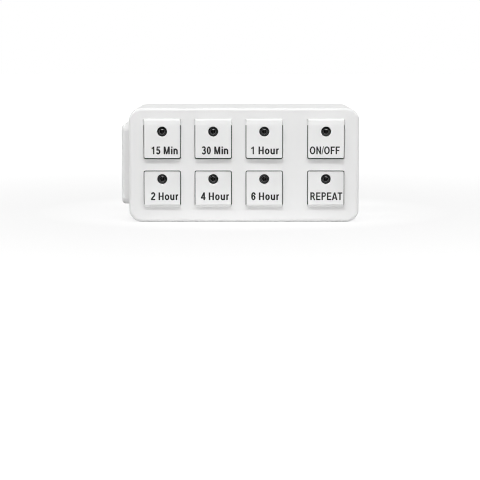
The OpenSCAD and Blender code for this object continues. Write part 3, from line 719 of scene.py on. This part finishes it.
def make_letter(sign):
    """A letter as one closed slab, a capital one unit high, standing up and facing forwards

    Each stroke is a little deeper and lower than the one before, so that no faces coincide."""
    letter = None
    for index, outlines in enumerate(LETTERS[sign][1]):
        curve = bpy.data.curves.new("stroke", "CURVE")
        curve.dimensions = "2D"
        curve.fill_mode = "BOTH"
        curve.extrude = 0.05 + 0.003 * index
        for outline in outlines:
            spline = curve.splines.new("POLY")
            spline.points.add(len(outline) - 1)
            for corner, (x, y) in zip(spline.points, outline):
                corner.co = (x, y - 0.004 * index, 0, 1)
            spline.use_cyclic_u = True
        part = bpy.data.objects.new("stroke", curve)
        bpy.context.collection.objects.link(part)
        select_only(part)
        bpy.ops.object.convert(target="MESH")
        part = bpy.context.object
        part.rotation_euler = (math.pi / 2, 0, 0)
        apply_place(part)
        start_edit(part)
        bpy.ops.mesh.select_all(action="SELECT")
        bpy.ops.mesh.remove_doubles(threshold=0.0005)
        bpy.ops.mesh.normals_make_consistent(inside=False)
        end_edit()
        if letter is None:
            letter = part
        else:
            combine(letter, part, "UNION")
    return letter


def print_word(name, words, x0, x1, baseline, letters):
    """Pad-printed words between two places on a key's face"""
    widths = [LETTERS[sign][0] for sign in words]
    first = min(v.co.x for v in letters[words[0]].data.vertices)
    last = max(v.co.x for v in letters[words[-1]].data.vertices)
    scale = (x1 - x0) / (sum(widths[:-1]) + last - first)
    copies = []
    at = x0 - first * scale
    for sign, width in zip(words, widths):
        if sign != " ":
            copy = copy_piece(letters[sign], "letter")
            copy.scale = (scale * MM, 0.3 * MM, CAPITAL * MM)
            copy.location = point(at, KEY_FACE - 0.005, baseline)
            apply_place(copy)
            copies.append(copy)
        at += width * scale
    bpy.ops.object.select_all(action="DESELECT")
    for copy in copies:
        copy.select_set(True)
    bpy.context.view_layer.objects.active = copies[0]
    bpy.ops.object.join()
    word = bpy.context.object
    word.name = word.data.name = "legend_" + name
    place(word, "key_" + name, ink, "lamp_epoxy")


# ---- Side outlet, rear cover and wall plug ----

def slot_cutter(x, y, z, half_w, half_h, flare, sign):
    """Cutter for a slot along X with a chamfered mouth at x, opening towards sign"""
    cutter = add_block("slot", sorted((x, x - sign * 12)), around(y, half_w), around(z, half_h))
    start_edit(cutter)
    pick_faces(cutter, facing(0, sign))
    bpy.ops.transform.translate(value=point(-sign * flare, 0, 0))
    extrude_faces(sign * flare, 0, 0)
    scale_faces((1, 1 + flare / half_w, 1 + flare / half_h), (x, y, z))
    extrude_faces(sign, 0, 0)
    end_edit()
    return cutter


def outlet_face():
    """Raised face of the side outlet, with two slots, a ground hole and its flange inside"""
    face = add_block("outlet_boss", (OUTLET_FACE, -35.25), around(OUTLET_Y, 16.5), (-13, 13))
    start_edit(face)
    pick_edges(face, along(0))
    round_edges(2.4, 10)
    pick_edges(face, level(0, OUTLET_FACE))
    round_edges(1.2, 8)
    end_edit()
    combine(face, add_block("flange", (-35.45, -34.05), (-39, -4), (-9, 9)), "UNION")
    combine(face, add_rod("sleeve", (-32.75, OUTLET_Y, GROUND_Z), 3.3, 5.4, "x"), "UNION")
    for y, half_h in ((OUTLET_Y - BLADE_X, 3.5), (OUTLET_Y + BLADE_X, 4.2)):
        combine(face, slot_cutter(OUTLET_FACE, y, BLADE_Z, 1, half_h, 0.25, -1), "DIFFERENCE")
    recess = add_rod("recess", (-40.05, OUTLET_Y, GROUND_Z), 2.8, 2, "x")
    combine(recess, add_block("recess_top", (-41.05, -39.05), around(OUTLET_Y, 2.8),
                              (GROUND_Z, GROUND_Z + 2.8)), "UNION")
    combine(face, recess, "DIFFERENCE")
    combine(face, add_rod("ground_hole", (-34, OUTLET_Y, GROUND_Z), 2.7, 14, "x"), "DIFFERENCE")
    soften_edges(face, 0.08, 2)
    smooth_shade(face)
    place(face, "housing", white_plastic, "white_outlet", "outlet_face")


def rear_cover():
    """Shallow cover on the wall side, with the places of the screws, the blades and the pin"""
    cover = add_block("back_cover", (-HALF_W, HALF_W), (SEAM, 0), (-HALF_H, HALF_H))
    start_edit(cover)
    pick_edges(cover, along(1))
    round_edges(CORNER, 12)
    pick_faces(cover, facing(1, -1))
    inset_faces(2.1)
    extrude_faces(0, -2, 0)
    inset_faces(1.2)
    extrude_faces(0, 2, 0)
    pick_edges(cover, level(1, 0))
    round_edges(0.6, 4)
    pick_edges(cover, outer_seam)
    round_edges(0.12, 2)
    end_edit()
    for x, z in SCREWS:
        combine(cover, add_rod("post", (x, -4, z), 2.7, 2.1), "UNION")
        combine(cover, add_rod("shank_hole", (x, -2, z), 1.35, 8, sides=32), "DIFFERENCE")
        combine(cover, add_rod("head_hole", (x, -0.35, z), 2.4, 2.7, sides=40), "DIFFERENCE")
    combine(cover, add_block("notch", (-36.25, -33.25), (-5.5, -3), (-9.1, 9.1)), "DIFFERENCE")
    for x in (-BLADE_X, BLADE_X):
        combine(cover, add_block("blade_slot", around(x, BLADE_HALF + 0.05), (-4, 1),
                                 around(BLADE_Z, 3.225)), "DIFFERENCE")
    combine(cover, add_rod("ground_seat", (0, -2, GROUND_Z), 2.65, 6), "DIFFERENCE")
    for x, z in BOARD_POSTS:
        combine(cover, add_rod("board_post", (x, -4.95, z), 2.2, 4.1, sides=32), "UNION")
        combine(cover, add_rod("board_hole", (x, -5.9, z), 0.95, 4, sides=24), "DIFFERENCE")
    soften_edges(cover, 0.07, 2)
    smooth_shade(cover)
    place(cover, "housing", cover_plastic, "white_housing", "rear_cover")


def blade(name, x):
    """Flat blade with rounded end corners and a hole, with its shoulder and tail inside"""
    thick = around(x, BLADE_HALF)
    flat = add_block(name + "_contact", thick, (-3.5, BLADE_END), around(BLADE_Z, 3.175))
    start_edit(flat)
    pick_edges(flat, lambda a, b: along(0)(a, b) and level(1, BLADE_END)(a, b))
    round_edges(1.1, 5)
    pick_edges(flat, level(1, BLADE_END))
    round_edges(0.3, 3)
    end_edit()
    combine(flat, add_block("shoulder", thick, (-5, -3), around(BLADE_Z, 4.5)), "UNION")
    combine(flat, add_block("tail", thick, (-9.6, -4.5), around(BLADE_Z, 1.5)), "UNION")
    combine(flat, add_rod("hole", (x, 11.8, BLADE_Z), 1.6, 4, "x", 32), "DIFFERENCE")
    soften_edges(flat, 0.12, 3)
    smooth_shade(flat)
    place(flat, "housing", nickel, "blade_nickel", name)


def ground_pin():
    """Round-nosed pin with its seat in the cover, and its flange and tail inside"""
    pin = add_rod("earth_pin", (0, PIN_END - 11.75, GROUND_Z), PIN_R, 23.5, sides=56)
    round_at(pin, level(1, PIN_END), PIN_R - 0.02, 12)
    seat = add_rod("seat", (0, -2.5, GROUND_Z), 2.6, 5, sides=56)
    round_at(seat, level(1, 0), 0.15, 2)
    combine(pin, seat, "UNION")
    combine(pin, add_rod("flange", (0, -4, GROUND_Z), 3.6, 2, sides=56), "UNION")
    combine(pin, add_rod("tail", (0, -7, GROUND_Z), 0.9, 5.2, sides=24), "UNION")
    smooth_shade(pin)
    place(pin, "housing", nickel, "blade_nickel", "ground_pin")


def case_screws():
    """Four pan-head screws with a cross recess, sunk in the rear cover"""
    for index, (x, z) in enumerate(SCREWS):
        screw = add_rod("case_screw", (x, -0.95, z), 2.2, 1.5, sides=40)
        round_at(screw, level(1, -0.2), 0.55, 5)
        combine(screw, add_rod("shank", (x, -7.6, z), 1.25, 12.2, sides=24), "UNION")
        for half_x, half_z in ((1.2, 0.36), (0.36, 1.2)):
            recess = add_block("recess", around(x, half_x), (-1, 0.5), around(z, half_z))
            start_edit(recess)
            pick_faces(recess, facing(1, -1))
            scale_faces((0.55, 1, 0.55), (x, -1, z))
            end_edit()
            combine(screw, recess, "DIFFERENCE")
        soften_edges(screw, 0.05, 2)
        smooth_shade(screw)
        screw.name = screw.data.name = "case_screw_%d" % (index + 1)
        place(screw, "housing", steel, "screw_steel")
    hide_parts("case_screws")


# ---- Whole object ----

front_housing()

for row in ROWS:
    key = make_key(row)
    for x, name in zip(COLUMNS, row.names):
        copy = copy_piece(key, "moulded_key_" + name, (x, 0, 0))
        place(copy, "key_" + name, key_plastic, "white_key", "key_" + name)
    bpy.data.objects.remove(key)
    lamp = make_lamp(-row.lamp if row.turned else row.lamp)
    for x, name in zip(COLUMNS, row.names):
        copy = copy_piece(lamp, "lamp_" + name, (x, 0, 0))
        settle(copy, "housing", "lamp_epoxy", "led_" + name)
    bpy.data.objects.remove(lamp)

signs = sorted(set("".join(legend[1] for legend in LEGENDS)) - {" "})
letters = {sign: make_letter(sign) for sign in signs}
for name, words, x0, x1, baseline in LEGENDS:
    print_word(name, words, x0, x1, baseline, letters)
for letter in letters.values():
    bpy.data.objects.remove(letter)

outlet_face()
rear_cover()
blade("line_blade", BLADE_X)
blade("neutral_blade", -BLADE_X)
ground_pin()
case_screws()

# Inner pieces keep their solids and get the finish of what they are made from
FINISHES = {
    "outlet_body": black_plastic,
    "control_board": board_green, "power_board": board_green,
    "control_board_screws": steel, "power_board_screws": steel,
    "microcontroller": black_plastic, "ribbon_cable": grey_ribbon, "relay": blue_plastic,
    "film_capacitor": yellow_epoxy, "filter_capacitor": sleeve_film, "fuse": black_plastic,
    "rectifier": black_plastic, "varistor": orange_epoxy,
    "line_contact": brass, "neutral_contact": brass, "ground_contact": brass,
    "line_wire": wire_sleeve("black_wire", grey(0.03), grey(0.02)),
    "neutral_wire": wire_sleeve("white_wire", grey(0.78), grey(0.7)),
    "ground_wire": wire_sleeve("green_wire", (0.03, 0.25, 0.06, 1), (0.02, 0.2, 0.045, 1)),
}
for name in ROWS[0].names + ROWS[1].names:
    FINISHES["switch_" + name] = black_plastic
    FINISHES["plunger_" + name] = cover_plastic
for name, material in FINISHES.items():
    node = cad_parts[name]
    node.data.materials.clear()
    node.data.materials.append(material)


# ---- Floor, light and camera ----

# Strengths of the surroundings, as a light and as what gloss mirrors
UPPER_LIGHT, SIDE_LIGHT = 0.05, 1.85
MIRRORED_REAR, MIRRORED_FRONT = 0.8, 0.02


def studio_floor():
    """Pale floor that shows as white but keeps the shadow next to the timer"""
    bpy.ops.object.select_all(action="DESELECT")
    bpy.ops.mesh.primitive_plane_add(size=6, location=(0, 0, -HALF_H * MM - 0.00002))
    floor = finish_primitive("floor")
    finish = Finish("floor_paint", Roughness=0.9)
    rays = finish.tree.nodes.new("ShaderNodeLightPath")
    camera = Value(finish, rays.outputs["Is Camera Ray"])
    through = Value(finish, rays.outputs["Is Transmission Ray"])
    glow = finish.node("ShaderNodeEmission", None, {"Color": grey(1), "Strength": 1.15})
    shader = Value(finish, finish.shader.outputs[0])
    reach = finish.node("ShaderNodeVectorMath", {"operation": "LENGTH"}, {0: finish.place},
                        output=1)
    finish.set("Base Color", finish.between(
        finish.ramp(reach, 0.045, 0.075), grey(0.86), grey(0.54)))
    glows = finish.ramp(reach, 0.06, 0.4, 0.65)
    mixed = finish.node("ShaderNodeMixShader", None,
                        {0: (camera + through) * glows, 1: shader, 2: glow})
    output = finish.tree.nodes["Material Output"]
    finish.tree.links.new(mixed.socket, output.inputs["Surface"])
    floor.data.materials.append(finish.material)
    floor.visible_glossy = False


def studio_world():
    """White surroundings for what is seen. The light itself comes mostly from low on both sides,
    and what shines mirrors a white rear and a dark front."""
    world = bpy.data.worlds.new("studio")
    bpy.context.scene.world = world
    world.use_nodes = True
    tree = world.node_tree
    tree.nodes.remove(tree.nodes["Background"])

    def sky(strength):
        back = tree.nodes.new("ShaderNodeBackground")
        back.inputs["Color"].default_value = grey(1)
        back.inputs["Strength"].default_value = strength
        return back.outputs[0]

    def math_node(operation, *values):
        node = tree.nodes.new("ShaderNodeMath")
        node.operation = operation
        for socket, value in zip(node.inputs, values):
            if isinstance(value, (int, float)):
                socket.default_value = value
            else:
                tree.links.new(value, socket)
        return node.outputs[0]

    def mix(factor, a, b):
        node = tree.nodes.new("ShaderNodeMixShader")
        tree.links.new(factor, node.inputs[0])
        tree.links.new(a, node.inputs[1])
        tree.links.new(b, node.inputs[2])
        return node.outputs[0]

    rays = tree.nodes.new("ShaderNodeLightPath")
    seen = math_node("MAXIMUM", rays.outputs["Is Camera Ray"], rays.outputs["Is Transmission Ray"])
    shone = rays.outputs["Is Glossy Ray"]
    way = tree.nodes.new("ShaderNodeTexCoord")
    ahead = tree.nodes.new("ShaderNodeVectorMath")
    ahead.operation = "DOT_PRODUCT"
    ahead.inputs[1].default_value = (0, -0.94, -0.34)
    tree.links.new(way.outputs["Generated"], ahead.inputs[0])
    side = tree.nodes.new("ShaderNodeMapRange")
    side.inputs["From Min"].default_value = -0.6
    side.inputs["From Max"].default_value = 0
    tree.links.new(ahead.outputs["Value"], side.inputs["Value"])
    mirrored = mix(side.outputs["Result"], sky(MIRRORED_REAR), sky(MIRRORED_FRONT))
    parts = tree.nodes.new("ShaderNodeSeparateXYZ")
    tree.links.new(way.outputs["Generated"], parts.inputs[0])
    spread = math_node("ABSOLUTE", parts.outputs[0])
    low = math_node("POWER", math_node("SUBTRACT", 1, parts.outputs[2]), 3)
    lit = mix(math_node("MULTIPLY", spread, low), sky(UPPER_LIGHT), sky(SIDE_LIGHT))
    tree.links.new(mix(seen, mix(shone, lit, mirrored), sky(1)),
                   tree.nodes["World Output"].inputs["Surface"])


def studio_lamp(name, place_m, target_m, size, power, shines=False):
    """Rectangular lamp, in metres and watts. One that shines also shows as a highlight."""
    light = bpy.data.lights.new(name, "AREA")
    light.shape = "RECTANGLE"
    light.size, light.size_y = size
    light.energy = power
    lamp = bpy.data.objects.new(name, light)
    bpy.context.collection.objects.link(lamp)
    lamp.location = place_m
    lamp.visible_glossy = shines
    lamp.rotation_euler = (Vector(target_m) - Vector(place_m)).to_track_quat("-Z", "Y").to_euler()


studio_floor()
studio_world()
studio_lamp("strip", (-0.05, -0.48, 0.815), (0, -0.03, 0), (1.4, 0.1), 7.2, shines=True)
studio_lamp("overhead", (-0.05, -0.45, 0.83), (0, -0.03, 0), (2.4, 0.5), 3.8)
studio_lamp("front_fill", (0.1, -1.1, 0.4), (0, 0, 0), (0.9, 0.25), 1.2)
studio_lamp("rear_fill", (0.4, 1.1, 0.07), (0, 0, 0), (0.8, 0.2), 9)

view = bpy.data.cameras.new("camera")
view.sensor_width = 36
view.lens = 138.75
view.clip_start, view.clip_end = 0.01, 20
camera = bpy.data.objects.new("camera", view)
bpy.context.collection.objects.link(camera)
camera.location = point(-2.28, -640, 38.4)
camera.rotation_euler = (math.radians(84.01), 0, math.radians(-0.093))
bpy.context.scene.camera = camera
bpy.context.scene.cycles.filter_width = 1.1
bpy.context.scene.view_settings.view_transform = "Standard"
